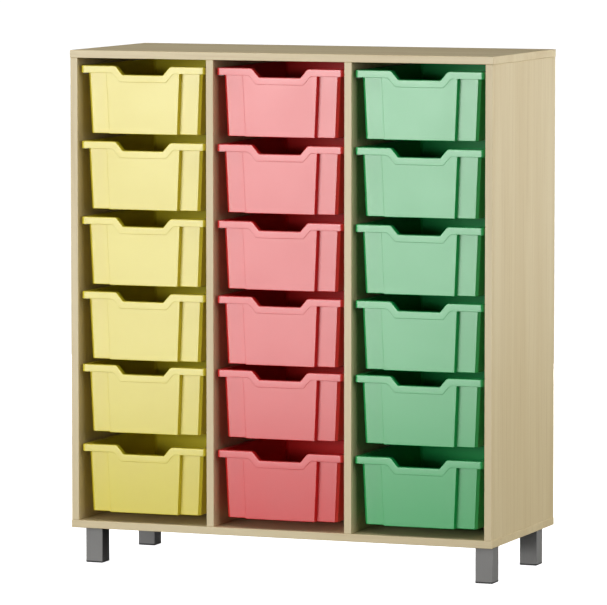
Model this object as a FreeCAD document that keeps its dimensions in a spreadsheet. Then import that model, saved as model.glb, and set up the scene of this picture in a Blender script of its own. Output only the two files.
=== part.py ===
import FreeCAD, Part
import os
import Sketcher

# Storage unit: a boarded carcass of three bays on four square metal legs, with six moulded trays in each bay.
# It stands on the XY plane, centred on the origin, with the open front of the bays facing -Y.
# Every tray hangs by its side rims on a pair of runners and slides out along -Y.

doc = FreeCAD.newDocument("tray_unit")
sheet = doc.addObject("Spreadsheet::Sheet", "dims")

SIZES = {
    # Carcass boards
    "board": 18,
    "end_overhang": 1,
    "edge_radius": 1.5,
    # Back panel, held in a groove that runs round the carcass
    "back_thickness": 6,
    "back_setback": 8,
    "groove_depth": 6,
    "groove_gap": 0.2,
    # Tongues on the ends of the uprights, let into grooves in the top and base boards
    "tongue": 8,
    "tongue_height": 8,
    "tongue_inset": 30,
    # Moulded tray: tub, rim that reaches out over it, raised front panel and grip notch
    "tub_width": 287,
    "tub_setback": 14,
    "tub_corner": 6,
    "tray_height": 158,
    "tray_wall": 2.5,
    "tray_floor": 3,
    "side_draft": 2.75,
    "end_draft": 0.75,
    "rim_reach": 12,
    "rim_depth": 424,
    "rim_corner": 8,
    "lip_height": 17,
    "lip_wall": 2.5,
    "flange": 3,
    "panel_width": 185,
    "panel_setback": 0.5,
    "panel_slant": 1.5,
    "notch_top": 136.5,
    "notch_bottom": 101,
    "notch_depth": 20.7,
    "notch_round": 6,
    # Room left round the trays inside the bays
    "rim_side_gap": 5.5,
    "rim_setback": 7,
    "rim_rear_gap": 5,
    "gap_above_row_1": 17.3,
    "gap_above_row_2": 18.1,
    "gap_above_row_3": 18.5,
    "gap_above_row_4": 16.4,
    "gap_above_row_5": 12.9,
    "gap_above_row_6": 29.4,
    "gap_below_trays": 21.4,
    # Runners
    "runner_reach": 12,
    "runner_ledge": 3,
    "runner_plate": 2.5,
    "runner_upstand": 12,
    "runner_setback": 32,
    "runner_rear_gap": 24,
    "runner_lead": 4,
    # Legs, their threaded inserts and their feet
    "leg_height": 88,
    "leg_size": 42,
    "leg_wall": 2,
    "leg_corner": 1,
    "leg_inset_end": 15,
    "leg_inset_front": 50,
    "leg_inset_back": 40,
    "stud_diameter": 9.6,
    "stud_gap": 0.2,
    "stud_end_gap": 1,
    "insert_wall": 2,
    "insert_length": 12,
    "bore_gap": 0.1,
    "bore_end_gap": 0.5,
    "foot_plate": 4,
    "foot_chamfer": 1.5,
    "foot_plug": 18,
    "foot_plug_wall": 3,
    "foot_plug_gap": 0.3,
}

for line, (alias, size) in enumerate(SIZES.items(), start=1):
    sheet.set(f"A{line}", alias)
    sheet.set(f"B{line}", str(size))
    sheet.setAlias(f"B{line}", alias)
doc.recompute()

COLOURS = {"yellow": -1, "red": 0, "green": 1}
ROWS = range(1, 7)

# Distances that follow from the driving sizes, as expressions on the sheet
ROW_GAPS = " + ".join(f"dims.gap_above_row_{row}" for row in ROWS)
RIM_WIDTH = "(dims.tub_width + 2 * dims.rim_reach)"
BAY = f"({RIM_WIDTH} + 2 * dims.rim_side_gap)"
BAY_PITCH = f"({BAY} + dims.board)"
SIDES_WIDTH = f"(3 * {BAY} + 4 * dims.board)"
INNER_WIDTH = f"(3 * {BAY} + 2 * dims.board)"
INNER_HEIGHT = f"({len(ROWS)} * dims.tray_height + {ROW_GAPS} + dims.gap_below_trays)"
BACK_FRONT = "(dims.rim_setback + dims.rim_depth + dims.rim_rear_gap)"
DEPTH = f"({BACK_FRONT} + dims.back_thickness + dims.back_setback)"
BASE_TOP = "(dims.leg_height + dims.board)"
GROOVE_WIDTH = "(dims.back_thickness + 2 * dims.groove_gap)"
SIDE_SLOPE = "tan(dims.side_draft)"
END_SLOPE = "tan(dims.end_draft)"


def number(expression):
    """Value of an expression on the sheet."""
    return float(sheet.evalExpression(expression))


def new_body(label):
    body = doc.addObject("PartDesign::Body", label)
    body.Label = label
    return body


def place(item, x, y, z):
    for axis, expression in zip("xyz", (x, y, z)):
        item.setExpression(f".Placement.Base.{axis}", expression)


def origin_plane(body, role):
    return next(plane for plane in body.Origin.OriginFeatures if plane.Role == role)


def sketch_on(body, role, name, level="0"):
    """Empty sketch on one of the body's origin planes, moved along the plane's normal by level."""
    sketch = body.newObject("Sketcher::SketchObject", name)
    sketch.AttachmentSupport = [(origin_plane(body, role), "")]
    sketch.MapMode = "FlatFace"
    sketch.setExpression(".AttachmentOffset.Base.z", level)
    return sketch


def hold(sketch, kind, items, expression):
    """Dimension in a sketch that takes its value from the sheet."""
    index = sketch.addConstraint(Sketcher.Constraint(kind, *items, number(expression)))
    sketch.setExpression(f"Constraints[{index}]", expression)


def pin(sketch, item, point, x, y):
    hold(sketch, "DistanceX", (-1, 1, item, point), x)
    hold(sketch, "DistanceY", (-1, 1, item, point), y)


def polygon(sketch, points):
    """Closed outline of straight lines through points given as pairs of expressions."""
    places = [FreeCAD.Vector(number(x), number(y), 0) for x, y in points]
    lines = [sketch.addGeometry(Part.LineSegment(start, end))
             for start, end in zip(places, places[1:] + places[:1])]
    for line, follower in zip(lines, lines[1:] + lines[:1]):
        sketch.addConstraint(Sketcher.Constraint("Coincident", line, 2, follower, 1))
    for line, (x, y) in zip(lines, points):
        pin(sketch, line, 1, x, y)


def rectangle(sketch, left, low, right, high):
    polygon(sketch, [(left, low), (right, low), (right, high), (left, high)])


def eased_rectangle(sketch, width, depth, radius, steps=(0, 45, 90)):
    """Rectangle centred on the sketch's origin, its corners eased by flats between steps along an arc."""
    along = f"(({width}) / 2 - ({radius}))"
    across = f"(({depth}) / 2 - ({radius}))"
    points = []
    for turn, (x, y) in enumerate([(1, 1), (-1, 1), (-1, -1), (1, -1)]):
        for step in steps:
            angle = f"{90 * turn + step} deg"
            points.append((f"{x} * {along} + ({radius}) * cos({angle})",
                           f"{y} * {across} + ({radius}) * sin({angle})"))
    polygon(sketch, points)


def circles(sketch, centres, diameter):
    for x, y in centres:
        middle = FreeCAD.Vector(number(x), number(y), 0)
        ring = sketch.addGeometry(Part.Circle(middle, FreeCAD.Vector(0, 0, 1), number(diameter) / 2))
        pin(sketch, ring, 3, x, y)
        hold(sketch, "Diameter", (ring,), diameter)


def pad(body, sketch, name, length, along_normal=True):
    feature = body.newObject("PartDesign::Pad", name)
    feature.Profile = sketch
    feature.Reversed = not along_normal
    feature.setExpression("Length", length)
    doc.recompute()
    return feature


def pocket(body, sketch, name, depth=None, along_normal=False, symmetric=False):
    """Cut from a sketch, right through where no depth is given. The cut has to take some volume away."""
    before = body.Shape.Volume
    feature = body.newObject("PartDesign::Pocket", name)
    feature.Profile = sketch
    feature.Reversed = along_normal
    if symmetric:
        feature.SideType = "Symmetric"
    if depth is None:
        feature.Type = "ThroughAll"
    else:
        feature.setExpression("Length", depth)
    doc.recompute()
    if not body.Shape.Volume < before:
        raise RuntimeError(f"{body.Label}: {name} cuts nothing")
    return feature


def draft(body, name, angle, wanted, inner=False):
    """Tilts the upright outer or inner faces for which wanted(face) holds inwards below the XY plane."""
    base = body.Tip
    upright_faces = [(f"Face{index}", face) for index, face in enumerate(base.Shape.Faces, start=1)
                     if face.Surface.TypeId == "Part::GeomPlane" and abs(face.normalAt(0, 0).z) < 0.02]
    names = [label for label, face in upright_faces if wanted(face)]
    if not names:
        raise RuntimeError(f"{body.Label}: {name} finds no face")
    feature = body.newObject("PartDesign::Draft", name)
    feature.Base = (base, names)
    feature.NeutralPlane = (origin_plane(body, "XY_Plane"), [""])
    feature.Reversed = not inner
    feature.setExpression("Angle", angle)
    doc.recompute()
    return feature


def mirror(body, features, role, name):
    feature = body.newObject("PartDesign::Mirrored", name)
    feature.Originals = features
    feature.MirrorPlane = (origin_plane(body, role), [""])
    body.Tip = feature
    doc.recompute()
    return feature


def dress_edges(body, kind, name, size_property, size, wanted):
    """Fillet or chamfer on each edge of the body for which wanted(edge) holds."""
    base = body.Tip
    names = [f"Edge{index}" for index, edge in enumerate(base.Shape.Edges, start=1) if wanted(edge)]
    if not names:
        raise RuntimeError(f"{body.Label}: {name} finds no edge")
    feature = body.newObject(kind, name)
    feature.Base = (base, names)
    feature.setExpression(size_property, size)
    doc.recompute()
    return feature


def runs_along(edge, axis):
    """True for a straight edge along one of the axes x, y and z."""
    if edge.Curve.TypeId != "Part::GeomLine":
        return False
    start, end = edge.Vertexes[0].Point, edge.Vertexes[-1].Point
    step = end - start
    return abs(getattr(step, axis)) > 0.999 * step.Length


def lies_at(edge, **places):
    """True where both ends of an edge have the given coordinates."""
    close = 0.01
    ends = [vertex.Point for vertex in edge.Vertexes]
    return all(abs(getattr(end, axis) - place) < close for end in ends for axis, place in places.items())


def copy_of(form, label):
    """Another piece with the same shape as a form."""
    body = doc.addObject("PartDesign::Body", label)
    body.Label = label
    base = doc.addObject("PartDesign::FeatureBase", f"{label}_form")
    base.BaseFeature = form
    body.Group = [base]
    body.Tip = base
    return body


pieces = []

# Boards
TONGUE_BACK = f"({BACK_FRONT} - dims.tongue_inset)"
UPRIGHT_CENTRES = [f"({place} * {BAY_PITCH})" for place in (-1.5, -0.5, 0.5, 1.5)]


def drill(body, name, centres, diameter, depth, level="0", upward=True):
    sketch = sketch_on(body, "XY_Plane", f"{name}_places", level)
    circles(sketch, centres, diameter)
    pocket(body, sketch, name, depth, along_normal=upward)


def board(label, left, right, depth, height):
    """Board from the front edge y = 0 back to depth, with its two front edges rounded."""
    body = new_body(label)
    outline = sketch_on(body, "XY_Plane", f"{label}_outline")
    rectangle(outline, left, "0", right, depth)
    pad(body, outline, f"{label}_board", height)
    longest = "x" if number(f"{right} - {left}") > number(height) else "z"
    dress_edges(body, "PartDesign::Fillet", f"{label}_front_edges", "Radius", "dims.edge_radius",
                lambda edge: runs_along(edge, longest) and lies_at(edge, y=0))
    pieces.append(body)
    return body


def level_board(label, underside, inner_level, upward):
    """Top or base board, which runs over the ends of all four uprights and has grooves for them."""
    reach = f"({SIDES_WIDTH} / 2 + dims.end_overhang)"
    body = board(label, f"-{reach}", reach, DEPTH, "dims.board")
    groove = sketch_on(body, "XY_Plane", f"{label}_groove_outline", inner_level)
    groove_reach = f"({INNER_WIDTH} / 2 + dims.groove_depth)"
    groove_front = f"({BACK_FRONT} - dims.groove_gap)"
    rectangle(groove, f"-{groove_reach}", groove_front, groove_reach, f"({groove_front} + {GROOVE_WIDTH})")
    pocket(body, groove, f"{label}_groove", "dims.groove_depth", along_normal=upward)
    slots = sketch_on(body, "XY_Plane", f"{label}_slot_outlines", inner_level)
    half = "(dims.tongue / 2 + dims.groove_gap)"
    for x in UPRIGHT_CENTRES:
        rectangle(slots, f"{x} - {half}", "dims.tongue_inset - dims.groove_gap", f"{x} + {half}",
                  f"{TONGUE_BACK} + dims.groove_gap")
    pocket(body, slots, f"{label}_slots", "dims.tongue_height + dims.groove_gap", along_normal=upward)
    place(body, "0", f"-{DEPTH} / 2", underside)
    return body


def upright(label, centre, depth):
    """Side or divider between the base and top boards, with a tongue on each end."""
    body = board(label, "-dims.board / 2", "dims.board / 2", depth, INNER_HEIGHT)
    for end, level, upward in (("low", "0", False), ("high", INNER_HEIGHT, True)):
        tongue = sketch_on(body, "XY_Plane", f"{label}_{end}_tongue_outline", level)
        rectangle(tongue, "-dims.tongue / 2", "dims.tongue_inset", "dims.tongue / 2", TONGUE_BACK)
        pad(body, tongue, f"{label}_{end}_tongue", "dims.tongue_height", along_normal=upward)
    place(body, centre, f"-{DEPTH} / 2", BASE_TOP)
    return body


def side(label, centre, inward):
    body = upright(label, centre, DEPTH)
    groove = sketch_on(body, "XY_Plane", f"{label}_groove_outline")
    inner_face = f"({inward} * dims.board / 2)"
    groove_bottom = f"({inner_face} - {inward} * dims.groove_depth)"
    groove_front = f"({BACK_FRONT} - dims.groove_gap)"
    ends = (inner_face, groove_bottom) if inward < 0 else (groove_bottom, inner_face)
    rectangle(groove, ends[0], groove_front, ends[1], f"({groove_front} + {GROOVE_WIDTH})")
    pocket(body, groove, f"{label}_groove", INNER_HEIGHT, along_normal=True)


base_panel = level_board("base_panel", "dims.leg_height", "dims.board", upward=False)
top_panel = level_board("top_panel", f"{BASE_TOP} + {INNER_HEIGHT}", "0", upward=True)
side("left_side", UPRIGHT_CENTRES[0], inward=1)
side("right_side", UPRIGHT_CENTRES[3], inward=-1)
upright("left_divider", UPRIGHT_CENTRES[1], BACK_FRONT)
upright("right_divider", UPRIGHT_CENTRES[2], BACK_FRONT)

# Back panel, let into the grooves of the sides, top and base, against the rear edges of the dividers
back_panel = new_body("back_panel")
back_reach = f"({INNER_WIDTH} / 2 + dims.groove_depth - dims.groove_gap)"
back_margin = "(dims.groove_depth - dims.groove_gap)"
back_outline = sketch_on(back_panel, "XZ_Plane", "back_panel_outline")
rectangle(back_outline, f"-{back_reach}", f"-{back_margin}", back_reach, f"({INNER_HEIGHT} + {back_margin})")
pad(back_panel, back_outline, "back_panel_sheet", "dims.back_thickness", along_normal=False)
place(back_panel, "0", f"{BACK_FRONT} - {DEPTH} / 2", BASE_TOP)
pieces.append(back_panel)


# Grip notch: half of its edge, from the level foot up an eased slope to the rim, as places across and up,
# and how far each place moves out and down for each millimetre that the edge is offset
NOTCH_RUN = "(dims.notch_top / 2 - dims.notch_bottom / 2)"
NOTCH_SLOPE = f"atan(dims.notch_depth / {NOTCH_RUN})"
NOTCH_EASE = f"(dims.notch_round * tan({NOTCH_SLOPE} / 2))"
NOTCH = [
    (f"dims.notch_bottom / 2 - {NOTCH_EASE}", "-dims.notch_depth"),
    (f"dims.notch_bottom / 2 + {NOTCH_EASE} * cos({NOTCH_SLOPE})",
     f"{NOTCH_EASE} * sin({NOTCH_SLOPE}) - dims.notch_depth"),
    (f"dims.notch_top / 2 - {NOTCH_EASE} * cos({NOTCH_SLOPE})", f"-{NOTCH_EASE} * sin({NOTCH_SLOPE})"),
    (f"dims.notch_top / 2 + {NOTCH_EASE}", "0"),
]
LEVEL_LEAN = (f"tan({NOTCH_SLOPE} / 4)", "1")
SLOPE_LEAN = (f"sin(3 * {NOTCH_SLOPE} / 4) / cos({NOTCH_SLOPE} / 4)",
              f"cos(3 * {NOTCH_SLOPE} / 4) / cos({NOTCH_SLOPE} / 4)")
NOTCH_LEANS = [LEVEL_LEAN, SLOPE_LEAN, SLOPE_LEAN, LEVEL_LEAN]


# Moulded tray, with its origin at the middle of the rim's top plane
def tray_body(label):
    """Drafted tub under a turned-down rim, with a raised hollow panel and a dip for the hand at its front."""
    body = new_body(label)
    rim_front = "(-dims.rim_depth / 2)"
    tub_depth = "(dims.rim_depth - 2 * dims.tub_setback)"

    rim = sketch_on(body, "XY_Plane", "rim_outline")
    eased_rectangle(rim, RIM_WIDTH, "dims.rim_depth", "dims.rim_corner")
    pad(body, rim, "rim", "dims.lip_height", along_normal=False)
    channel = sketch_on(body, "XY_Plane", "rim_channel_outline", "-dims.lip_height")
    eased_rectangle(channel, f"{RIM_WIDTH} - 2 * dims.lip_wall", "dims.rim_depth - 2 * dims.lip_wall",
                    "dims.rim_corner - dims.lip_wall")
    pocket(body, channel, "rim_channel", "dims.lip_height - dims.flange", along_normal=True)

    tub = sketch_on(body, "XY_Plane", "tub_outline")
    eased_rectangle(tub, "dims.tub_width", tub_depth, "dims.tub_corner", steps=(0, 90))
    pad(body, tub, "tub", "dims.tray_height", along_normal=False)
    inside = sketch_on(body, "XY_Plane", "inside_outline")
    eased_rectangle(inside, "dims.tub_width - 2 * dims.tray_wall", f"{tub_depth} - 2 * dims.tray_wall",
                    "dims.tub_corner - dims.tray_wall * (2 - sqrt(2))", steps=(0, 90))
    pocket(body, inside, "inside", "dims.tray_height - dims.tray_floor")
    foot, floor = number("-dims.tray_height"), number("dims.tray_floor - dims.tray_height")

    def reaching(level, ends):
        """Test for the faces of the two ends, or for the others, that reach down to a level."""
        def wanted(face):
            is_end = abs(face.normalAt(0, 0).y) > 0.9
            return abs(face.BoundBox.ZMin - level) < 0.01 and is_end == ends
        return wanted

    for part, ends in (("end", True), ("side", False)):
        draft(body, f"inside_{part}_draft", f"dims.{part}_draft", reaching(floor, ends), inner=True)
        draft(body, f"tub_{part}_draft", f"dims.{part}_draft", reaching(foot, ends))

    raised = sketch_on(body, "XY_Plane", "panel_outline")
    front = f"({rim_front} + dims.panel_setback)"
    rear = f"({rim_front} + dims.tub_setback + dims.tray_wall / 2)"
    near = "(dims.panel_width / 2)"
    far = f"({near} + dims.panel_slant)"
    polygon(raised, [(f"-{near}", front), (near, front), (far, rear), (f"-{far}", rear)])
    panel = pad(body, raised, "front_panel", "dims.tray_height")
    panel.UseCustomVector = True
    panel.Direction = FreeCAD.Vector(0, number(END_SLOPE), -1)
    panel.setExpression(".Direction.y", END_SLOPE)
    doc.recompute()
    deepest = number(f"{rear} + dims.tray_height * {END_SLOPE}")
    draft(body, "panel_side_draft", "dims.side_draft",
          lambda face: reaching(foot, False)(face) and face.BoundBox.YMax < deepest)

    hollow = sketch_on(body, "YZ_Plane", "panel_hollow_outline")
    below = "(dims.tray_height + dims.tray_floor)"
    skin = f"({rim_front} + dims.panel_setback + dims.tray_wall)"
    wall = f"({rim_front} + dims.tub_setback)"
    polygon(hollow, [(f"{skin} + dims.flange * {END_SLOPE}", "-dims.flange"),
                     (f"{wall} + dims.flange * {END_SLOPE}", "-dims.flange"),
                     (f"{wall} + {below} * {END_SLOPE}", f"-{below}"),
                     (f"{skin} + {below} * {END_SLOPE}", f"-{below}")])
    hollow_width = f"dims.panel_width - 2 * dims.tray_height * {SIDE_SLOPE} - 2 * dims.tray_wall"
    pocket(body, hollow, "panel_hollow", hollow_width, symmetric=True)

    grip = sketch_on(body, "XZ_Plane", "notch_outline")
    clear = f"({NOTCH[-1][0]})"
    edge = [(f"-({x})", z) for x, z in reversed(NOTCH)] + NOTCH
    polygon(grip, [(f"-{clear}", "dims.flange"), *edge, (clear, "dims.flange")])
    pocket(body, grip, "grip_notch", along_normal=True)
    for name, height, depth in (("dipped_flange", "dims.flange", "dims.tub_setback + dims.tray_wall"),
                                ("dipped_lip", "dims.lip_height", "dims.panel_setback + dims.tray_wall")):
        lower = [(f"{x} + {height} * {out}", f"{z} - {height} * {down}")
                 for (x, z), (out, down) in zip(NOTCH, NOTCH_LEANS)]
        band = sketch_on(body, "XZ_Plane", f"{name}_outline", f"-{rim_front}")
        polygon(band, edge + lower[::-1] + [(f"-({x})", z) for x, z in lower])
        pad(body, band, name, depth, along_normal=False)
    return body


tray_form = tray_body("tray_form")


def rim_level(row):
    """Height of the rim's top plane in a row counted from the top."""
    gaps = " - ".join(f"dims.gap_above_row_{above}" for above in range(1, row + 1))
    return f"({BASE_TOP} + {INNER_HEIGHT} - {gaps} - {row - 1} * dims.tray_height)"


for colour, bay in COLOURS.items():
    for row in ROWS:
        tray = copy_of(tray_form, f"tray_{colour}_{row}")
        middle = f"dims.rim_setback + (dims.rim_depth - {DEPTH}) / 2"
        place(tray, f"{bay} * {BAY_PITCH}", middle, rim_level(row))
        pieces.append(tray)


# Runners: a pair of angle sections, left and right, that carry the lower edges of a tray's side lips.
# The form's origin is at the rim's level in the middle of a bay, on the front plane of the carcass.
def runner_pair(label):
    body = new_body(label)
    body.AllowCompound = True
    wall = f"({BAY} / 2)"
    plate = f"({wall} - dims.runner_plate)"
    tip = f"({wall} - dims.runner_reach)"
    seat = "(-dims.lip_height)"
    low = f"({seat} - dims.runner_ledge)"
    high = f"({seat} + dims.runner_upstand)"
    profile = sketch_on(body, "XZ_Plane", "runner_profile", "-dims.runner_setback")
    polygon(profile, [(tip, low), (wall, low), (wall, high), (plate, high), (plate, seat), (tip, seat)])
    length = f"{BACK_FRONT} - dims.runner_setback - dims.runner_rear_gap"
    angle = pad(body, profile, "runner_angle", length, along_normal=False)
    corner = sketch_on(body, "XY_Plane", "runner_lead_outline", seat)
    front = "dims.runner_setback"
    polygon(corner, [(tip, front), (f"{tip} + dims.runner_lead", front),
                     (tip, f"{front} + dims.runner_lead")])
    lead = pocket(body, corner, "runner_lead", "dims.runner_ledge")
    mirror(body, [angle, lead], "YZ_Plane", "left_runner")
    return body


runner_form = runner_pair("runner_form")
for colour, bay in COLOURS.items():
    for row in ROWS:
        runners = copy_of(runner_form, f"runners_{colour}_{row}")
        runners.AllowCompound = True
        place(runners, f"{bay} * {BAY_PITCH}", f"-{DEPTH} / 2", rim_level(row))
        pieces.append(runners)

# Legs: square tube with a welded top plate and a stud that screws into an insert in the base board.
# The form's origin is on the floor under the middle of the leg.
LEG_CENTRE_X = f"({SIDES_WIDTH} / 2 + dims.end_overhang - dims.leg_inset_end - dims.leg_size / 2)"
LEG_FRONT_Y = f"(dims.leg_inset_front + dims.leg_size / 2 - {DEPTH} / 2)"
LEG_BACK_Y = f"({DEPTH} / 2 - dims.leg_inset_back - dims.leg_size / 2)"
LEG_PLACES = {
    "front_left": (f"-{LEG_CENTRE_X}", LEG_FRONT_Y),
    "front_right": (LEG_CENTRE_X, LEG_FRONT_Y),
    "back_left": (f"-{LEG_CENTRE_X}", LEG_BACK_Y),
    "back_right": (LEG_CENTRE_X, LEG_BACK_Y),
}
INSERT_CENTRES = [(x, f"({y} + {DEPTH} / 2)") for x, y in LEG_PLACES.values()]
INSERT_BORE = "(dims.stud_diameter + 2 * dims.stud_gap)"
INSERT_DIAMETER = f"({INSERT_BORE} + 2 * dims.insert_wall)"
drill(base_panel, "insert_bores", INSERT_CENTRES, f"{INSERT_DIAMETER} + 2 * dims.bore_gap",
      "dims.insert_length + dims.bore_end_gap")

leg_form = new_body("leg_form")
tube = sketch_on(leg_form, "XY_Plane", "tube_outline", "dims.foot_plate")
eased_rectangle(tube, "dims.leg_size", "dims.leg_size", "dims.leg_corner")
pad(leg_form, tube, "tube", "dims.leg_height - dims.foot_plate")
bore = sketch_on(leg_form, "XY_Plane", "tube_bore_outline", "dims.foot_plate")
bore_half = "(dims.leg_size / 2 - dims.leg_wall)"
rectangle(bore, f"-{bore_half}", f"-{bore_half}", bore_half, bore_half)
pocket(leg_form, bore, "tube_bore", "dims.leg_height - dims.foot_plate - dims.leg_wall", along_normal=True)
stud = sketch_on(leg_form, "XY_Plane", "stud_outline", "dims.leg_height - dims.leg_wall")
circles(stud, [("0", "0")], "dims.stud_diameter")
pad(leg_form, stud, "stud", "dims.leg_wall + dims.insert_length - dims.stud_end_gap")

# Feet: moulded plugs pressed into the open ends of the tubes, with a plate that meets the floor
foot_form = new_body("foot_form")
sole = sketch_on(foot_form, "XY_Plane", "sole_outline")
rectangle(sole, "-dims.leg_size / 2", "-dims.leg_size / 2", "dims.leg_size / 2", "dims.leg_size / 2")
pad(foot_form, sole, "sole", "dims.foot_plate")
dress_edges(foot_form, "PartDesign::Chamfer", "sole_chamfer", "Size", "dims.foot_chamfer",
            lambda edge: lies_at(edge, z=0))
plug_size = "(dims.leg_size - 2 * dims.leg_wall - 2 * dims.foot_plug_gap)"
plug = sketch_on(foot_form, "XY_Plane", "plug_outline", "dims.foot_plate")
rectangle(plug, f"-{plug_size} / 2", f"-{plug_size} / 2", f"{plug_size} / 2", f"{plug_size} / 2")
plug_bore = f"({plug_size} - 2 * dims.foot_plug_wall)"
rectangle(plug, f"-{plug_bore} / 2", f"-{plug_bore} / 2", f"{plug_bore} / 2", f"{plug_bore} / 2")
pad(foot_form, plug, "plug", "dims.foot_plug")

for corner, (x, y) in LEG_PLACES.items():
    leg = copy_of(leg_form, f"leg_{corner}")
    place(leg, x, y, "0")
    foot = copy_of(foot_form, f"foot_{corner}")
    place(foot, x, y, "0")
    pieces += [leg, foot]


def rod(name, diameter, length, x, y, z):
    """Round rod that stands on a point."""
    item = doc.addObject("Part::Cylinder", name)
    item.setExpression("Radius", f"{diameter} / 2")
    item.setExpression("Height", length)
    place(item, x, y, z)
    return item


# Threaded inserts for the leg studs
inserts = []
for corner, (x, y) in LEG_PLACES.items():
    sleeve = rod(f"insert_sleeve_{corner}", INSERT_DIAMETER, "dims.insert_length", x, y, "dims.leg_height")
    thread = rod(f"insert_thread_{corner}", INSERT_BORE, "dims.insert_length", x, y, "dims.leg_height")
    insert = doc.addObject("Part::Cut", f"insert_{corner}")
    insert.Base = sleeve
    insert.Tool = thread
    inserts.append(insert)
leg_inserts = doc.addObject("Part::Compound", "leg_inserts")
leg_inserts.Label = "leg_inserts"
leg_inserts.Links = inserts
pieces.append(leg_inserts)

doc.recompute()

failed = [item.Label for item in doc.Objects if {"Invalid", "Error"} & set(item.State)]
failed += [piece.Label for piece in pieces if piece.Shape.isNull() or not piece.Shape.isValid()]
if failed:
    raise RuntimeError("failed: " + ", ".join(failed))

os.makedirs("parts", exist_ok=True)
for piece in pieces:
    piece.Shape.exportStep(os.path.join("parts", f"{piece.Label}.step"))
print(len(pieces), "sub-parts,", sum(len(piece.Shape.Solids) for piece in pieces), "solids")
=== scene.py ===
import math

import bpy
import numpy as np
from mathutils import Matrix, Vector


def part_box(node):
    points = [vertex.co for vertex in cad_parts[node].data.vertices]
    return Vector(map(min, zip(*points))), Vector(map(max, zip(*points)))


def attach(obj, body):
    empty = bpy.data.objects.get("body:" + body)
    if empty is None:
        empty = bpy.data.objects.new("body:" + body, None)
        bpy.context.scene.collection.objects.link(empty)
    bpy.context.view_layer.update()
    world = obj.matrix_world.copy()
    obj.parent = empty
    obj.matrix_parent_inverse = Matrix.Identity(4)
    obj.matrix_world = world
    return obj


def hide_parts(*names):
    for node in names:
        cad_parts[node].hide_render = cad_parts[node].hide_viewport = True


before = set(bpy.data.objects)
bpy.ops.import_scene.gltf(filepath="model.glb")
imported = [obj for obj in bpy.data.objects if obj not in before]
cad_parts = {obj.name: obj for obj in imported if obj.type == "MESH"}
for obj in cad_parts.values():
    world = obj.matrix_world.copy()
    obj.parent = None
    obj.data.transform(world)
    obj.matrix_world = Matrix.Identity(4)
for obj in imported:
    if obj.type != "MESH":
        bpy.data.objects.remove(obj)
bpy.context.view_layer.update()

# Boards
# The carcass is 18 mm board faced with a light maple foil. Each board is cut square, and its arrises are eased.
# The uprights stand between the base and the top, with the grain running up them; the grain of the others runs
# along. The back is a thin sheet in the same foil, let into a groove round the carcass.
MM = 0.001
BOARD_ARRIS = 1.2 * MM
ARRIS_STEPS = 3
MAPLE_PALE = (0.785, 0.655, 0.395, 1)
MAPLE_MID = (0.730, 0.590, 0.335, 1)
MAPLE_DARK = (0.585, 0.440, 0.225, 1)
MAPLE_GLOSS = 0.6
MAPLE_RELIEF = 0.08
BAND_PITCH = (16, 16, 1.1)
STREAK_PITCH = (120, 120, 2.6)
PORE_PITCH = (520, 520, 26)
GRAIN_HEIGHT = 0.2 * MM
BOARDS = {
    "top_panel": ("along", "maple_board"), "base_panel": ("along", "maple_board"),
    "left_side": ("up", "maple_board"), "right_side": ("up", "maple_board"),
    "left_divider": ("up", "maple_board"), "right_divider": ("up", "maple_board"),
    "back_panel": ("up", "back_sheet"),
}


def mesh_piece(name, points, faces, body):
    """New object at the origin from points of shape (n, 3) and faces as lists of indices.
    Each vertex normal is the mean of its faces' normals weighted by their area, so flats stay flat beside an arris."""
    mesh = bpy.data.meshes.new(name)
    mesh.from_pydata(points.tolist(), [], faces)
    mesh.validate()
    mesh.update()
    piece = bpy.data.objects.new(name, mesh)
    bpy.context.scene.collection.objects.link(piece)
    count = len(mesh.polygons)
    mesh.polygons.foreach_set("use_smooth", np.ones(count, bool))
    normals = np.zeros(count * 3)
    areas = np.zeros(count)
    totals = np.zeros(count, np.int32)
    mesh.polygons.foreach_get("normal", normals)
    mesh.polygons.foreach_get("area", areas)
    mesh.polygons.foreach_get("loop_total", totals)
    corners = np.zeros(len(mesh.loops), np.int32)
    mesh.loops.foreach_get("vertex_index", corners)
    weighted = np.repeat(normals.reshape(-1, 3) * areas[:, None], totals, axis=0)
    summed = np.zeros((len(mesh.vertices), 3))
    np.add.at(summed, corners, weighted)
    length = np.linalg.norm(summed, axis=1, keepdims=True)
    mesh.normals_split_custom_set_from_vertices((summed / np.maximum(length, 1e-12)).tolist())
    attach(piece, body)
    return piece


def ring_faces(rows, columns):
    """Quads between consecutive closed rings of points, ring by ring, with a flat cap on the first and last ring."""
    start = np.arange(rows - 1)[:, None] * columns
    here = np.arange(columns)[None, :]
    after = (here + 1) % columns
    quads = np.stack([start + here, start + after, start + columns + after, start + columns + here], -1)
    first_cap = list(range(columns - 1, -1, -1))
    last_cap = list(range((rows - 1) * columns, rows * columns))
    return [first_cap, *quads.reshape(-1, 4).tolist(), last_cap]


def quarter_turn(points):
    """Angles of evenly spaced points along a quarter round, from 0 to a right angle."""
    return np.linspace(0, math.pi / 2, points)


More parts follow.
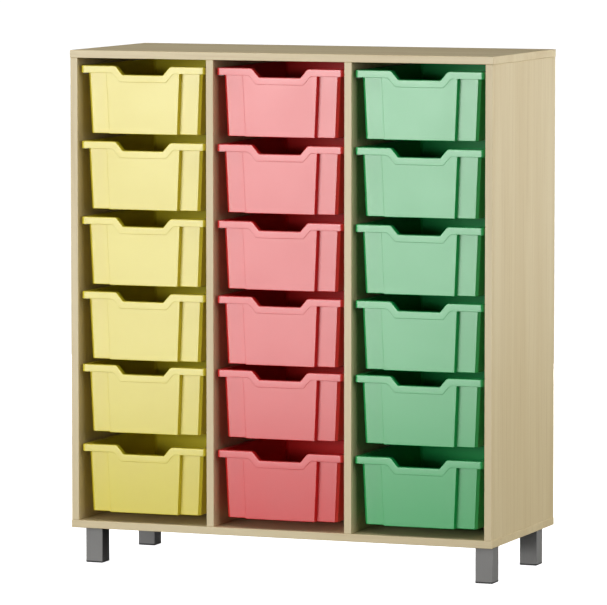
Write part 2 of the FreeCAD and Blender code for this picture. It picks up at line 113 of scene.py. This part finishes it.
def eased_block(low, high, radius, steps):
    """Block with eased arrises, as rings stacked in z: each ring is the plan rectangle with quarter-round corners,
    drawn in by radius (1 - sin a) while z rises by radius (1 - cos a) at the foot, and the same at the head."""
    low, high = np.array(low), np.array(high)
    middle, half = (low + high) / 2, (high - low) / 2
    turn = quarter_turn(steps + 1)
    inset = np.concatenate([radius * (1 - np.sin(turn)), radius * (1 - np.cos(turn))])
    level = np.concatenate([low[2] + radius * (1 - np.cos(turn)), high[2] - radius * (1 - np.sin(turn))])
    heading = np.arange(4)[:, None] * math.pi / 2 + turn[None, :]
    side_x = np.repeat([1, -1, -1, 1], steps + 1)
    side_y = np.repeat([1, 1, -1, -1], steps + 1)
    away = np.stack([np.cos(heading).ravel(), np.sin(heading).ravel()])
    x = middle[0] + side_x * (half[0] - radius) + away[0] * (radius - inset)[:, None]
    y = middle[1] + side_y * (half[1] - radius) + away[1] * (radius - inset)[:, None]
    z = np.broadcast_to(level[:, None], x.shape)
    return np.stack([x, y, z], -1).reshape(-1, 3), ring_faces(*x.shape)


def node_tree(name):
    """New material, its node tree and the Principled shader on its output."""
    material = bpy.data.materials.new(name)
    material.use_nodes = True
    return material, material.node_tree, material.node_tree.nodes["Principled BSDF"]


def add_node(tree, kind, settings=None, **inputs):
    """Node with its settings and input values; an input given as a socket is linked."""
    node = tree.nodes.new(kind)
    for key, value in (settings or {}).items():
        setattr(node, key, value)
    for key, value in inputs.items():
        socket = node.inputs[key.replace("_", " ")]
        if isinstance(value, bpy.types.NodeSocket):
            tree.links.new(value, socket)
        else:
            socket.default_value = value
    return node


def rescaled(tree, value, low, high, least=0.0, most=1.0):
    """Value stretched from low..high to least..most and held between them."""
    return add_node(tree, "ShaderNodeMapRange", Value=value, From_Min=low, From_Max=high,
                    To_Min=least, To_Max=most).outputs[0]


def mixed_colour(tree, share, first, second):
    """Colour that goes from first to second as share goes from 0 to 1.
    A Mix node takes its two colours at sockets 6 and 7 and gives their mix at socket 2."""
    mix = add_node(tree, "ShaderNodeMix", {"data_type": "RGBA"})
    for index, socket in ((0, share), (6, first), (7, second)):
        tree.links.new(socket, mix.inputs[index])
    return mix.outputs[2]


def skin_group(name, colours):
    """Shader node group that takes a place and named colours, and gives a colour, a height and a roughness."""
    tree = bpy.data.node_groups.new(name, "ShaderNodeTree")
    tree.interface.new_socket("Vector", in_out="INPUT", socket_type="NodeSocketVector")
    for label in colours:
        tree.interface.new_socket(label, in_out="INPUT", socket_type="NodeSocketColor")
    for label, kind in (("Color", "Color"), ("Height", "Float"), ("Roughness", "Float")):
        tree.interface.new_socket(label, in_out="OUTPUT", socket_type=f"NodeSocket{kind}")
    return tree, tree.nodes.new("NodeGroupInput").outputs, tree.nodes.new("NodeGroupOutput").inputs


def maple_grain_group():
    """Printed maple foil: broad soft bands, fine streaks along Z and short pores, from noise squeezed along Z."""
    tree, takes, gives = skin_group("maple_grain", ("Pale", "Mid", "Dark"))

    def squeezed_noise(pitch, detail, roughness):
        """Noise of the place multiplied along each axis by the pitch."""
        place = add_node(tree, "ShaderNodeMapping", {"vector_type": "POINT"}, Vector=takes["Vector"], Scale=pitch)
        return add_node(tree, "ShaderNodeTexNoise", Vector=place.outputs[0], Scale=1.0, Detail=detail,
                        Roughness=roughness).outputs[0]

    bands = squeezed_noise(BAND_PITCH, 3.0, 0.55)
    streaks = squeezed_noise(STREAK_PITCH, 4.0, 0.6)
    pores = squeezed_noise(PORE_PITCH, 2.0, 0.5)
    banded = mixed_colour(tree, rescaled(tree, bands, 0.36, 0.66), takes["Pale"], takes["Mid"])
    streaked = mixed_colour(tree, rescaled(tree, streaks, 0.52, 0.82, most=0.55), banded, takes["Dark"])
    pored = mixed_colour(tree, rescaled(tree, pores, 0.62, 0.8, most=0.3), streaked, takes["Dark"])
    tree.links.new(pored, gives["Color"])
    tree.links.new(pores, gives["Height"])
    tree.links.new(rescaled(tree, streaks, 0.3, 0.7, 0.34, 0.44), gives["Roughness"])
    return tree


def link_skin(tree, shader, skin, relief):
    """Links a skin's colour and roughness to the shader, and its height as a bump of the given strength."""
    bump = add_node(tree, "ShaderNodeBump", Strength=relief, Distance=GRAIN_HEIGHT, Height=skin.outputs["Height"])
    tree.links.new(skin.outputs["Color"], shader.inputs["Base Color"])
    tree.links.new(skin.outputs["Roughness"], shader.inputs["Roughness"])
    tree.links.new(bump.outputs[0], shader.inputs["Normal"])


maple_grain = maple_grain_group()


def maple_material(name, turn):
    """Maple foil whose grain runs along the object's Z axis turned by the given angles."""
    material, tree, shader = node_tree(name)
    place = add_node(tree, "ShaderNodeTexCoord")
    turned = add_node(tree, "ShaderNodeMapping", {"vector_type": "POINT"}, Vector=place.outputs["Object"],
                      Rotation=turn)
    grain = add_node(tree, "ShaderNodeGroup", {"node_tree": maple_grain}, Vector=turned.outputs[0],
                     Pale=MAPLE_PALE, Mid=MAPLE_MID, Dark=MAPLE_DARK)
    link_skin(tree, shader, grain, MAPLE_RELIEF)
    shader.inputs["Specular IOR Level"].default_value = MAPLE_GLOSS
    return material


maple = {"up": maple_material("maple_up", (0, 0, 0)), "along": maple_material("maple_along", (0, math.pi / 2, 0))}
base_top, top_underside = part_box("base_panel")[1].z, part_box("top_panel")[0].z
for node, (grain, slot) in BOARDS.items():
    low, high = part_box(node)
    if grain == "up":
        low.z, high.z = base_top, top_underside
    points, faces = eased_block(low, high, BOARD_ARRIS, ARRIS_STEPS)
    board = mesh_piece(f"{node}_board", points, faces, "cabinet")
    board.data.materials.append(maple[grain])
    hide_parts(node)

# Trays
# Each tray is one polypropylene moulding: a drafted tub with chamfered corners, a flange with a turned-down lip,
# and at its front a raised panel and a rim that dips for the hand. The outside is polished, the core side matt.
# It hangs on its runners by its side lips.
tray_low, tray_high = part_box("tray_yellow_1")
TRAY_SIZE = np.round((np.array(tray_high) - np.array(tray_low)) / MM, 3)
TRAY_HEIGHT = TRAY_SIZE[2]
RIM_HALF = TRAY_SIZE[:2] / 2
RIM_REACH = np.array([12.0, 14.0])
RIM_CORNER = 8.0
RIM_ROUND = 1.8
LIP_HEIGHT = 17.0
LIP_WALL = 2.5
LIP_ROUND = 0.8
FLANGE = 3.0
TUB_HALF = RIM_HALF - RIM_REACH
TUB_CHAMFER = 6.0
TUB_EDGE = 0.8
WALL = 2.5
FLOOR = 3.0
SIDE_SLOPE = math.tan(math.radians(2.75))
END_SLOPE = math.tan(math.radians(0.75))
INNER_ROUND = 1.2
FLOOR_ROUND = 5.0
FOOT_ROUND = 1.6
PANEL_HALF = 92.5
PANEL_SETBACK = 0.5
PANEL_PROUD = RIM_REACH[1] - PANEL_SETBACK
PANEL_SLANT = 1.5
PANEL_ROUND = 0.9
PANEL_SEAM = 0.1
NOTCH_TOP = 68.25
NOTCH_FOOT = 50.5
NOTCH_DEPTH = 20.7
NOTCH_TOP_ROUND = 9.0
NOTCH_FOOT_ROUND = 4.0
CORNER_PANEL_COLUMN = 112.0
CORNER_ARC_POINTS = 4
SIDE_COLUMNS = (150.0, 75.0, 0.0)
WALL_SHARES = (0.5, 0.8)
FACE_SHARES = (0.0, 0.04, 0.5, 1.0)
CORE_BANDS = 8
OUTSIDE_GLOSS = 1.0
CORE_GLOSS = 0.15
TRAY_INDEX = 1.6
DRIFT_PITCH = 9.0
SPARK_PITCH = 900.0
TRAY_COLOURS = {
    "yellow": ((0.825, 0.700, 0.028, 1), (0.805, 0.672, 0.024, 1)),
    "red": ((0.800, 0.016, 0.016, 1), (0.775, 0.014, 0.014, 1)),
    "green": ((0.011, 0.460, 0.105, 1), (0.010, 0.440, 0.098, 1)),
}
TRAY_ROWS = 6


def notch_columns():
    """Half widths x and drops d of points along the notch from its middle outwards: a level foot, an arc,
    a slope and a second arc up to the level rim, and how far each point moves out per millimetre of offset."""
    slope = math.atan2(NOTCH_DEPTH, NOTCH_TOP - NOTCH_FOOT)
    lean = math.tan(slope / 2)
    foot_turn = np.linspace(0, slope, 5)
    foot_x = NOTCH_FOOT - NOTCH_FOOT_ROUND * lean + NOTCH_FOOT_ROUND * np.sin(foot_turn)
    foot_d = NOTCH_DEPTH - NOTCH_FOOT_ROUND * (1 - np.cos(foot_turn))
    top_turn = np.linspace(slope, 0, 7)
    top_x = NOTCH_TOP + NOTCH_TOP_ROUND * lean - NOTCH_TOP_ROUND * np.sin(top_turn)
    top_d = NOTCH_TOP_ROUND * (1 - np.cos(top_turn))
    x = np.concatenate([[0, NOTCH_FOOT / 2], foot_x, top_x, [PANEL_HALF - 4 * PANEL_ROUND]])
    d = np.concatenate([[NOTCH_DEPTH, NOTCH_DEPTH], foot_d, top_d, [0]])
    lean_share = np.concatenate([[0, 0.5], np.ones(len(foot_turn) + len(top_turn)), [0.25]])
    return x, d, lean * lean_share


def panel_edge_columns():
    """Plan of the raised panel's edge from its face back to the corner panel: an arc, a slanted side and a fillet,
    as half widths x and heights p above the corner panel."""
    bend = math.pi / 2 - math.atan2(PANEL_SLANT, PANEL_PROUD)
    turn = np.linspace(0, bend, 4)
    reach = PANEL_ROUND * math.tan(bend / 2)
    edge_x = PANEL_HALF - reach + PANEL_ROUND * np.sin(turn)
    edge_p = PANEL_PROUD - PANEL_ROUND * (1 - np.cos(turn))
    foot_x = PANEL_HALF + PANEL_SLANT + reach - PANEL_ROUND * np.sin(turn[::-1])
    foot_p = PANEL_ROUND * (1 - np.cos(turn[::-1]))
    return np.concatenate([edge_x, foot_x]), np.concatenate([edge_p, foot_p])


def tray_columns():
    """Columns of the tray's surface in one quarter, from the middle of an end, round a corner to the middle of a
    side, then turned into the other three quarters so that they follow one closed loop. The rear end is plain."""
    notch_x, drop, lean = notch_columns()
    edge_x, edge_p = panel_edge_columns()
    ends = np.concatenate([notch_x, edge_x, [CORNER_PANEL_COLUMN]])
    turn = np.radians([np.linspace(90, 45, CORNER_ARC_POINTS), np.linspace(45, 0, CORNER_ARC_POINTS)]).ravel()
    counts = (len(ends), len(turn), len(SIDE_COLUMNS))
    fill = np.zeros(sum(counts[1:]))
    quarter = {
        "kind": np.repeat([0, 1, 2], counts),
        "x": np.concatenate([ends, fill]),
        "y": np.concatenate([np.zeros(sum(counts[:2])), SIDE_COLUMNS]),
        "turn": np.concatenate([np.zeros(counts[0]), turn, np.zeros(counts[2])]),
        "late": np.concatenate([np.zeros(counts[0]), np.repeat([0, 1], CORNER_ARC_POINTS), np.zeros(counts[2])]),
        "drop": np.concatenate([drop, np.zeros(len(edge_x) + 1), fill]),
        "lean": np.concatenate([lean, np.zeros(len(edge_x) + 1), fill]),
        "proud": np.concatenate([np.full(len(notch_x), PANEL_PROUD), edge_p, [0], fill]),
        "panel": np.concatenate([np.ones(len(notch_x) + len(edge_x)), [0], fill]),
    }
    loop = []
    for sx, sy, onward in ((1, -1, True), (1, 1, False), (-1, 1, True), (-1, -1, False)):
        run = {key: values if onward else values[-2:0:-1] for key, values in quarter.items()}
        front = float(sy < 0)
        run.update({key: run[key] * front for key in ("drop", "lean", "proud", "panel")})
        run["sx"] = np.full(len(run["x"]), sx)
        run["sy"] = np.full(len(run["x"]), sy)
        loop.append(run)
    return {key: np.concatenate([run[key] for run in loop]) for key in loop[0]}


def tray_surface():
    """Rings of points from the tray's inner floor, up the wall, over the dipped flange, round the lip, up its back,
    down the outside of the tub or raised panel and under the foot. In a ring every column lies on a rectangle of
    half sizes (a, b) whose corners are two arcs of radius r beside a chamfer of leg c; a plain round corner is the
    case c = r (1 - tan 22.5). Front columns also move out by the panel's height and down by the notch.
    With the faces comes a 1 for each on the core side, which is the floor and the first bands of quads, else a 0."""
    c = tray_columns()
    end, corner = c["kind"] == 0, c["kind"] == 1
    eighth = math.tan(math.pi / 8)
    rings = []

    def round_corner(radius):
        """Chamfer leg and arc radius of a plain round corner."""
        return radius * (1 - eighth), radius

    def chamfer(inset=0.0):
        """Chamfer leg and arc radius of the tub's corner, inset from its outside."""
        return TUB_CHAMFER - inset * (2 - math.sqrt(2)), TUB_EDGE

    def ring(a, b, bend, z, offset=0.0, proud=0.0, taper=0.0):
        """Adds a ring of half sizes a and b at height z. The notch moves out by its lean times offset, the panel
        stands proud of b, and its half width grows by taper."""
        leg, radius = bend
        near, far = radius, leg + radius * eighth
        drift = c["x"] + c["lean"] * offset
        drift = drift * np.where(c["panel"] > 0, 1 + taper / PANEL_HALF, 1)
        corner_x = a - np.where(c["late"] > 0, near, far) + radius * np.cos(c["turn"])
        corner_y = b - np.where(c["late"] > 0, far, near) + radius * np.sin(c["turn"])
        x = np.where(end, drift, np.where(corner, corner_x, a))
        y = np.where(end, b + proud, np.where(corner, corner_y, c["y"]))
        rings.append(np.stack([c["sx"] * x, c["sy"] * y, np.broadcast_to(z, x.shape)], -1))

    def outer(z):
        """Half sizes of the tub's outside at height z: those at the rim plus z times the slope of the wall."""
        return TUB_HALF[0] + z * SIDE_SLOPE, TUB_HALF[1] + z * END_SLOPE

    def inner(z):
        """Half sizes of the tub's inside at height z: those of its outside less the wall."""
        return TUB_HALF[0] - WALL + z * SIDE_SLOPE, TUB_HALF[1] - WALL + z * END_SLOPE

    floor_level = FLOOR - TRAY_HEIGHT
    for turn in quarter_turn(5):
        z = floor_level + FLOOR_ROUND * (1 - math.cos(turn))
        inset = FLOOR_ROUND * (1 - math.sin(turn))
        a, b = inner(z)
        ring(a - inset, b - inset, chamfer(WALL + inset), z)
    for share in WALL_SHARES:
        z = floor_level * (1 - share)
        ring(*inner(z), chamfer(WALL), np.minimum(z, -c["drop"] - 3 * INNER_ROUND))
    a, b = inner(0)
    for turn in quarter_turn(4):
        out = INNER_ROUND * (1 - math.cos(turn))
        ring(a + out, b + out, chamfer(WALL - out), -c["drop"] - INNER_ROUND * (1 - math.sin(turn)))
    a, b = RIM_HALF
    for turn in quarter_turn(5):
        inset = RIM_ROUND * (1 - math.sin(turn))
        down = RIM_ROUND * (1 - math.cos(turn))
        ring(a - inset, b - inset, round_corner(RIM_CORNER - inset), -c["drop"] - down, offset=down)
    for turn in quarter_turn(3):
        inset = LIP_ROUND * (1 - math.cos(turn))
        down = LIP_HEIGHT - LIP_ROUND * (1 - math.sin(turn))
        ring(a - inset, b - inset, round_corner(RIM_CORNER - inset), -c["drop"] - down, offset=down)

    under_panel = end & (c["proud"] > PANEL_PROUD - LIP_WALL)
    lip_foot = -c["drop"] - LIP_HEIGHT
    lip_back = round_corner(RIM_CORNER - LIP_WALL)
    back_b = np.where(under_panel, outer(lip_foot)[1] + c["proud"], b - LIP_WALL)
    ring(a - LIP_WALL, back_b, lip_back, lip_foot, offset=LIP_HEIGHT)
    ring(a - LIP_WALL, back_b, lip_back, np.where(under_panel, lip_foot - PANEL_SEAM, -FLANGE), offset=LIP_HEIGHT)
    face_top = np.where(under_panel, lip_foot - 2 * PANEL_SEAM, -FLANGE)
    face_foot = FOOT_ROUND - TRAY_HEIGHT
    for share in FACE_SHARES:
        z = face_top + (face_foot - face_top) * share
        ring(*outer(z), chamfer(), z, offset=LIP_HEIGHT, proud=c["proud"], taper=z * SIDE_SLOPE)
    for turn in quarter_turn(5)[1:]:
        inset = FOOT_ROUND * (1 - math.cos(turn))
        z = face_foot - FOOT_ROUND * math.sin(turn)
        a, b = outer(z)
        ring(a - inset, b - inset, chamfer(inset), z, offset=LIP_HEIGHT, proud=c["proud"], taper=z * SIDE_SLOPE)
    points = np.array(rings)
    faces = ring_faces(*points.shape[:2])
    core_side = np.arange(len(faces)) <= CORE_BANDS * points.shape[1]
    return points.reshape(-1, 3) * MM, faces, core_side.astype(np.int32)


def moulded_plastic_group():
    """Moulded polypropylene: a slow drift between two shades and a fine spark-eroded grain for the relief."""
    tree, takes, gives = skin_group("moulded_plastic", ("Shade", "Deep"))
    drift = add_node(tree, "ShaderNodeTexNoise", Vector=takes["Vector"], Scale=DRIFT_PITCH, Detail=3.0,
                     Roughness=0.5).outputs[0]
    grain = add_node(tree, "ShaderNodeTexNoise", Vector=takes["Vector"], Scale=SPARK_PITCH, Detail=2.0,
                     Roughness=0.6).outputs[0]
    shaded = mixed_colour(tree, rescaled(tree, drift, 0.3, 0.7), takes["Shade"], takes["Deep"])
    tree.links.new(shaded, gives["Color"])
    tree.links.new(grain, gives["Height"])
    tree.links.new(rescaled(tree, drift, 0.3, 0.7, 0.31, 0.35), gives["Roughness"])
    return tree


moulded_plastic = moulded_plastic_group()


def plastic_material(name, shade, deep, gloss=0.5, relief=0.12, index=1.5):
    """Moulded plastic, or a coat with the same fine grain, between two close shades; gloss and index are constant."""
    material, tree, shader = node_tree(name)
    place = add_node(tree, "ShaderNodeTexCoord")
    plastic = add_node(tree, "ShaderNodeGroup", {"node_tree": moulded_plastic}, Vector=place.outputs["Object"],
                       Shade=shade, Deep=deep)
    link_skin(tree, shader, plastic, relief)
    shader.inputs["Specular IOR Level"].default_value = gloss
    shader.inputs["IOR"].default_value = index
    return material


tray_points, tray_faces, tray_core = tray_surface()
for colour, (shade, deep) in TRAY_COLOURS.items():
    polished = plastic_material(f"tray_plastic_{colour}", shade, deep, gloss=OUTSIDE_GLOSS, index=TRAY_INDEX)
    matt = plastic_material(f"tray_core_{colour}", shade, deep, gloss=CORE_GLOSS, index=TRAY_INDEX)
    for row in range(1, TRAY_ROWS + 1):
        node = f"tray_{colour}_{row}"
        low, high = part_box(node)
        seat = np.array([(low.x + high.x) / 2, (low.y + high.y) / 2, high.z])
        tray = mesh_piece(f"{node}_moulding", tray_points + seat, tray_faces, node)
        tray.data.materials.append(polished)
        tray.data.materials.append(matt)
        tray.data.polygons.foreach_set("material_index", tray_core)
        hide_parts(node)

# Runners
# Grey extruded plastic angles, one on each wall of a bay, that carry a tray by the lower edges of its side lips.
# Screws through the upright leg hold each to its board, and it stops short of the bay's front and back.
RUNNERS = [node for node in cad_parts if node.startswith("runners_")]
RUNNER_GREY = ((0.42, 0.40, 0.36, 1), (0.38, 0.36, 0.32, 1))


def finish_nodes(nodes, material):
    """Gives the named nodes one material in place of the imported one."""
    for node in nodes:
        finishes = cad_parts[node].data.materials
        finishes.clear()
        finishes.append(material)


finish_nodes(RUNNERS, plastic_material("runner_plastic", *RUNNER_GREY))

# Legs
# Square steel tubes with a top plate, powder coated grey. A stud on the plate screws into the base board, and a
# moulded foot closes each tube's open end.
LEG_PLACES = ("front_left", "front_right", "back_left", "back_right")
LEG_GREY = ((0.275, 0.270, 0.260, 1), (0.245, 0.240, 0.231, 1))
LEG_RELIEF = 0.2
FOOT_GREY = ((0.050, 0.050, 0.050, 1), (0.040, 0.040, 0.040, 1))
finish_nodes([f"leg_{place}" for place in LEG_PLACES], plastic_material("leg_coat", *LEG_GREY, relief=LEG_RELIEF))
finish_nodes([f"foot_{place}" for place in LEG_PLACES], plastic_material("foot_plastic", *FOOT_GREY))

# Fixings
# Zinc-plated threaded inserts in the base board take the legs' studs. Three zinc-plated pan-head screws with a cross
# recess hold each runner to its board through the upright leg.
ZINC = (0.62, 0.62, 0.60, 1)
ZINC_PITCH = 400.0
SCREW_RADIUS = 2.8
SCREW_HEIGHT = 1.6
HEAD_RINGS = (0, 0.3, 0.5, 0.9, 1.3, 1.7, 2.2, 2.6, SCREW_RADIUS)
HEAD_SIDES = 24
RECESS_REACH = 1.5
RECESS_HALF = 0.42
RECESS_DEPTH = 0.9
RECESS_SIDE_RUN = 0.3
RECESS_END_RUN = 0.4
RUNNER_PLATE = 2.5
SCREW_LEVEL = 9.0
SCREW_END = 45.0
SCREWS_PER_RUNNER = 3
zinc, zinc_tree, zinc_shader = node_tree("zinc")
zinc_noise = add_node(zinc_tree, "ShaderNodeTexNoise", Scale=ZINC_PITCH, Detail=3.0,
                      Vector=add_node(zinc_tree, "ShaderNodeTexCoord").outputs["Object"])
zinc_rough = rescaled(zinc_tree, zinc_noise.outputs[0], 0.0, 1.0, 0.25, 0.5)
zinc_tree.links.new(zinc_rough, zinc_shader.inputs["Roughness"])
zinc_shader.inputs["Base Color"].default_value = ZINC
zinc_shader.inputs["Metallic"].default_value = 1.0
finish_nodes(["leg_inserts"], zinc)


def screw_head():
    """Head over a plate at height 0: h(r, t) = H (1 - (r / R)^4) with a cross recess of width 2 w and reach q sunk in
    it, so h falls by the recess depth where the smaller of |x|, |y| is under w and the larger under q."""
    radius = np.array(HEAD_RINGS)[:, None]
    turn = np.arange(HEAD_SIDES) * 2 * math.pi / HEAD_SIDES
    x, y = radius * np.cos(turn), radius * np.sin(turn)
    narrow, wide = np.minimum(abs(x), abs(y)), np.maximum(abs(x), abs(y))
    within_width = np.clip((RECESS_HALF - narrow) / RECESS_SIDE_RUN + 0.5, 0, 1)
    within_reach = np.clip((RECESS_REACH - wide) / RECESS_END_RUN + 0.5, 0, 1)
    h = SCREW_HEIGHT * (1 - (radius / SCREW_RADIUS) ** 4) - RECESS_DEPTH * within_width * within_reach
    return np.stack([x, y, h], -1)[::-1]


seats, ways = [], []
for node in RUNNERS:
    low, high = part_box(node)
    for way, wall in ((1, low.x), (-1, high.x)):
        for y in np.linspace(low.y + SCREW_END * MM, high.y - SCREW_END * MM, SCREWS_PER_RUNNER):
            seats.append((wall + way * RUNNER_PLATE * MM, y, low.z + SCREW_LEVEL * MM))
            ways.append(way)
head = screw_head()
across, up, out = head.reshape(-1, 3).T * MM
way = np.array(ways)[:, None]
head_points = np.stack([way * out, way * across, np.broadcast_to(up, (len(seats), len(up)))], -1)
screw_points = np.array(seats)[:, None, :] + head_points
first_cap, *quads, last_cap = ring_faces(*head.shape[:2])
starts = np.arange(len(seats))[:, None, None] * len(up)
screw_faces = []
for alike in ([first_cap, last_cap], quads):
    screw_faces += (np.array(alike) + starts).reshape(-1, len(alike[0])).tolist()
screws = mesh_piece("runner_screws", screw_points.reshape(-1, 3), screw_faces, "cabinet")
screws.data.materials.append(zinc)

# Studio
# A pale floor and a white surround. Two panels stand in front on the left, where the tray fronts mirror them, and a
# long strip far in front lights the gaps. Broad lights on the right, above, behind and on the left show the rest.
FLOOR_HALF = 60.0
FLOOR_PALE = (0.82, 0.82, 0.82, 1)
WHITE = (1, 1, 1, 1)
HORIZON = 0.05
SKY_STRENGTH = 0.1
floor_mesh = bpy.data.meshes.new("floor")
floor_mesh.from_pydata([(-FLOOR_HALF, -FLOOR_HALF, 0), (FLOOR_HALF, -FLOOR_HALF, 0),
                        (FLOOR_HALF, FLOOR_HALF, 0), (-FLOOR_HALF, FLOOR_HALF, 0)], [], [(0, 1, 2, 3)])
floor = bpy.data.objects.new("floor", floor_mesh)
bpy.context.scene.collection.objects.link(floor)
floor_paint, floor_tree, floor_shader = node_tree("floor_paint")
floor_shader.inputs["Base Color"].default_value = FLOOR_PALE
floor_shader.inputs["Roughness"].default_value = 0.9
floor_shader.inputs["Specular IOR Level"].default_value = 0.1
floor_shader.inputs["Emission Color"].default_value = WHITE
floor_shader.inputs["Emission Strength"].default_value = 1.0
floor_mesh.materials.append(floor_paint)
floor.visible_diffuse = False
floor.visible_glossy = False

world = bpy.data.worlds.new("studio")
bpy.context.scene.world = world
world.use_nodes = True
sky = world.node_tree
heading = add_node(sky, "ShaderNodeSeparateXYZ", Vector=add_node(sky, "ShaderNodeTexCoord").outputs["Generated"])
upper = rescaled(sky, heading.outputs["Z"], -HORIZON, HORIZON, most=SKY_STRENGTH)
sky.nodes["Background"].inputs["Color"].default_value = WHITE
sky.links.new(upper, sky.nodes["Background"].inputs["Strength"])


def softbox(name, place, aim, size, watts):
    """Rectangular area light at place, facing aim, with size as its width and height."""
    light = bpy.data.lights.new(name, "AREA")
    light.shape = "RECTANGLE"
    light.size, light.size_y = size
    light.energy = watts
    item = bpy.data.objects.new(name, light)
    bpy.context.scene.collection.objects.link(item)
    item.location = place
    item.rotation_euler = (item.location - Vector(aim)).to_track_quat("Z", "Y").to_euler()
    item.visible_camera = False


softbox("front_panel", (-1.7, -4.2, 1.04), (0, -0.2, 0.9), (2.3, 1.14), 46)
softbox("low_panel", (-1.1, -2.6, 0.22), (0, -0.2, 0.2), (2.0, 0.38), 10.8)
softbox("front_strip", (-1.0, -12, 1.72), (0, 0, 0.8), (6, 0.9), 385)
softbox("right_light", (4.4, -1.2, 1.7), (0.5, 0, 0.7), (2.4, 1.7), 45)
softbox("rear_right_light", (4.4, 0.5, 1.7), (0.5, 0, 0.7), (2.4, 1.7), 95)
softbox("upper_light", (-0.3, -0.4, 3.4), (-0.1, 0, 1.2), (2.0, 2.0), 25)
softbox("back_light", (2.6, 5.0, 1.2), (0.5, 0, 0.7), (3.0, 2.4), 17)
softbox("rear_light", (-0.9, 4.6, 0.58), (0, 0, 0.58), (3.2, 1.0), 80)
softbox("left_light", (-4.4, 0.7, 1.6), (-0.5, 0, 0.7), (2.4, 1.7), 80)

# Camera
# A long lens to the right of the unit and a little above it. Its place, turn, tilt and focal length were worked out
# from the edges of the boards, with no shift.
CAMERA_PLACE = (4.275, -11.2127, 1.7016)
CAMERA_TURN = 20.979
CAMERA_TILT = 5.176
FOCAL_PIXELS = 5152.4
IMAGE_WIDTH = 607
SENSOR_WIDTH = 36.0
SIGHT_LIMIT = 200.0
lens = bpy.data.cameras.new("camera")
lens.sensor_width = SENSOR_WIDTH
lens.lens = FOCAL_PIXELS * SENSOR_WIDTH / IMAGE_WIDTH
lens.clip_end = SIGHT_LIMIT
camera = bpy.data.objects.new("camera", lens)
camera.location = CAMERA_PLACE
camera.rotation_euler = (math.radians(90 - CAMERA_TILT), 0, math.radians(CAMERA_TURN))
bpy.context.scene.collection.objects.link(camera)
bpy.context.scene.camera = camera
bpy.context.scene.view_settings.view_transform = "Standard"
